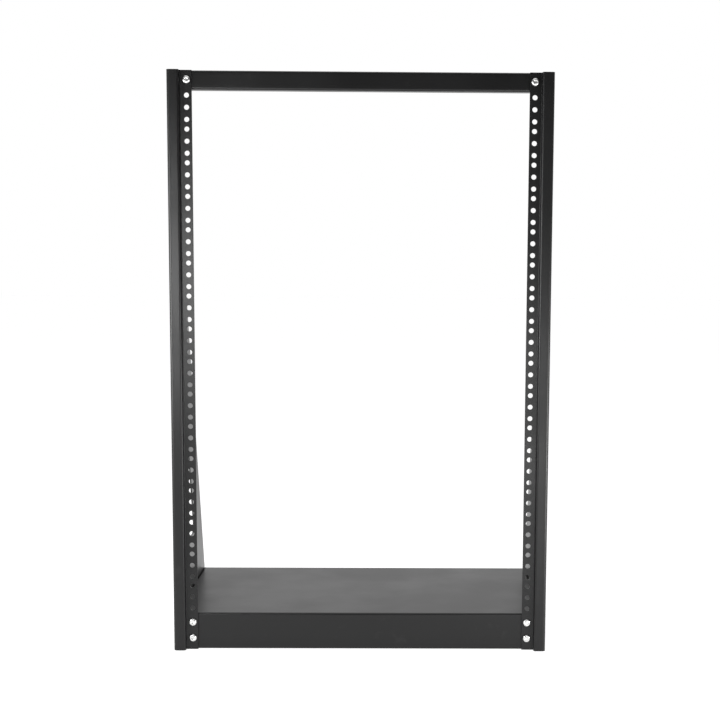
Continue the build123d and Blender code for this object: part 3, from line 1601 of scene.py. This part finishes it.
@dataclass(frozen=True)
class Studio:
    """Pale floor, soft light and the camera.

    Attributes:
        camera_place: Place of the camera.
        yaw: Turn of the camera to the left, in degrees.
        pitch: Turn of the camera downwards, in degrees.
        roll: Turn of the camera about its axis, in degrees.
        lens: Focal length for the sensor.
        sensor: Width of the sensor.
        shift: Shift of the frame, in widths of the image.
        floor_size: Width of the floor.
        floor_steps: Quads along each side of the floor.
        floor_albedo: Share of light that the floor scatters.
        floor_roughness: Roughness of the floor.
        floor_glow: Share of white that the camera and mirrors see in the floor without light.
        back_light: Brightness of the room behind and beside the rack.
        front_light: Brightness of the room in front of it.
        turn_span: Where along Y the room turns from one to the other.
        boxes: The lamps.
    """

    camera_place: Triple = (0.0448, -1.9989, 0.5352)
    yaw: float = -0.744
    pitch: float = 6.523
    roll: float = -0.338
    lens: float = 68.173
    sensor: float = 36.0
    shift: Pair = (-0.0705, 0.0833)
    floor_size: float = 40.0
    floor_steps: int = 4
    floor_albedo: float = 0.45
    floor_roughness: float = 0.9
    floor_glow: float = 0.82
    back_light: float = 0.92
    front_light: float = 0.07
    turn_span: Pair = (-0.1, 0.45)
    boxes: Tuple[Softbox, ...] = (
        Softbox("overhead_softbox", (0.0, 0.1, 2.6), (0.0, 0.0, 0.0), 2.4, 2.4, 26.0),
        Softbox("front_left_strip", (-0.39, -0.95, 0.50), (-0.25, -0.15, 0.51), 0.15, 0.38, 2.05),
        Softbox("front_right_strip", (0.32, -0.95, 0.23), (0.25, -0.15, 0.27), 0.16, 0.46, 1.05),
        Softbox("side_left_softbox", (-1.0, -0.65, 0.48), (-0.25, -0.15, 0.48), 0.52, 0.48, 9.0),
        Softbox("side_right_softbox", (1.0, -0.65, 0.18), (0.25, -0.15, 0.18), 0.52, 0.34, 6.5),
    )

    def lay_floor(self) -> None:
        """Lay the floor: a flat grid with a pale matt finish.

        Rays of the camera, reflections and glass see it glow a little, and scattered light
        doesn't.
        """
        lines = np.linspace(-self.floor_size / 2, self.floor_size / 2, self.floor_steps + 1)
        floor = MiddleSurface()
        floor.add_swept(np.stack([lines, np.zeros_like(lines)], axis=1), lines, Axis.Y)
        piece = floor.make("studio_floor")
        material = bpy.data.materials.new("pale_floor")
        material.use_nodes = True
        shading = Shading(material.node_tree)
        path = shading.add("LightPath", {}).outputs
        bounced = shading.math("MAXIMUM", path["Is Glossy Ray"], path["Is Transmission Ray"])
        seen = shading.math("MAXIMUM", path["Is Camera Ray"], bounced)
        shading.fill(material.node_tree.nodes["Principled BSDF"], {
            "Base Color": (*(self.floor_albedo,) * 3, 1.0),
            "Roughness": self.floor_roughness,
            "Specular IOR Level": 0.0,
            "Emission Color": WHITE,
            "Emission Strength": shading.math("MULTIPLY", seen, self.floor_glow),
        })
        piece.data.materials.append(material)

    def light_room(self) -> None:
        """Set the world: white to the camera, pale behind the rack and dim in front of it."""
        world = bpy.data.worlds.new("studio_room")
        bpy.context.scene.world = world
        world.use_nodes = True
        shading = Shading(world.node_tree)
        direction = shading.add("TexCoord", {}).outputs["Generated"]
        parts = shading.add("SeparateXYZ", {0: direction}).outputs
        room = shading.span(parts["Y"], self.turn_span, (self.front_light, self.back_light))
        seen = shading.add("LightPath", {}).outputs["Is Camera Ray"]
        strength = shading.math("MAXIMUM", room, seen)
        shading.fill(world.node_tree.nodes["Background"], {"Color": WHITE, "Strength": strength})

    def set_camera(self) -> None:
        """Make the camera where the photograph was taken from.

        Yaw turns its view in the plane of the floor, pitch lowers it by the pitch's sine, and
        roll turns its right and its lower axis into each other.
        """
        yaw, pitch, roll = (math.radians(turn) for turn in (self.yaw, self.pitch, self.roll))
        level = np.array([math.cos(yaw), math.sin(yaw), 0.0])
        ahead = np.array([-level[1] * math.cos(pitch), level[0] * math.cos(pitch), -math.sin(pitch)])
        down = np.cross(ahead, level)
        right = math.cos(roll) * level + math.sin(roll) * down
        under = -math.sin(roll) * level + math.cos(roll) * down
        data = bpy.data.cameras.new("camera")
        data.sensor_fit = "HORIZONTAL"
        data.sensor_width = self.sensor
        data.lens = self.lens
        data.shift_x, data.shift_y = self.shift
        camera = bpy.data.objects.new("camera", data)
        bpy.context.scene.collection.objects.link(camera)
        set_axes(camera, right, -under, -ahead, self.camera_place)
        bpy.context.scene.camera = camera

    def set_up(self) -> None:
        """Set up the camera, the floor and the light."""
        self.set_camera()
        self.lay_floor()
        self.light_room()
        for box in self.boxes:
            box.hang()
        bpy.context.scene.view_settings.view_transform = "Standard"


def main() -> None:
    """Build the studio and every sub-assembly, in order."""
    logging.basicConfig(level=logging.INFO, format="%(name)s: %(message)s")
    Studio().set_up()
    sizes = RackSizes.from_frame()
    steel = SheetSteel()
    workshop = Workshop()
    upright_coat = PowderCoat("upright_powder_coat").material(workshop)
    crossbar_coat = PowderCoat("crossbar_powder_coat").material(workshop)
    tray_coat = PowderCoat("tray_powder_coat").material(workshop)
    screw_plate = ZincPlate("screw_zinc_plate").material(workshop)
    nut_plate = ZincPlate("nut_zinc_plate", gloss=0.28, matt=0.42).material(workshop)
    for side in Side:
        Upright(sizes, steel, side).make(upright_coat)
    Crossbar(sizes, steel).make(crossbar_coat)
    BaseTray(sizes, steel).make(tray_coat)
    form = TurnedForm()
    Fasteners(ButtonScrew(form), HexNut(form)).make(screw_plate, nut_plate)


if __name__ == "__main__":
    main()
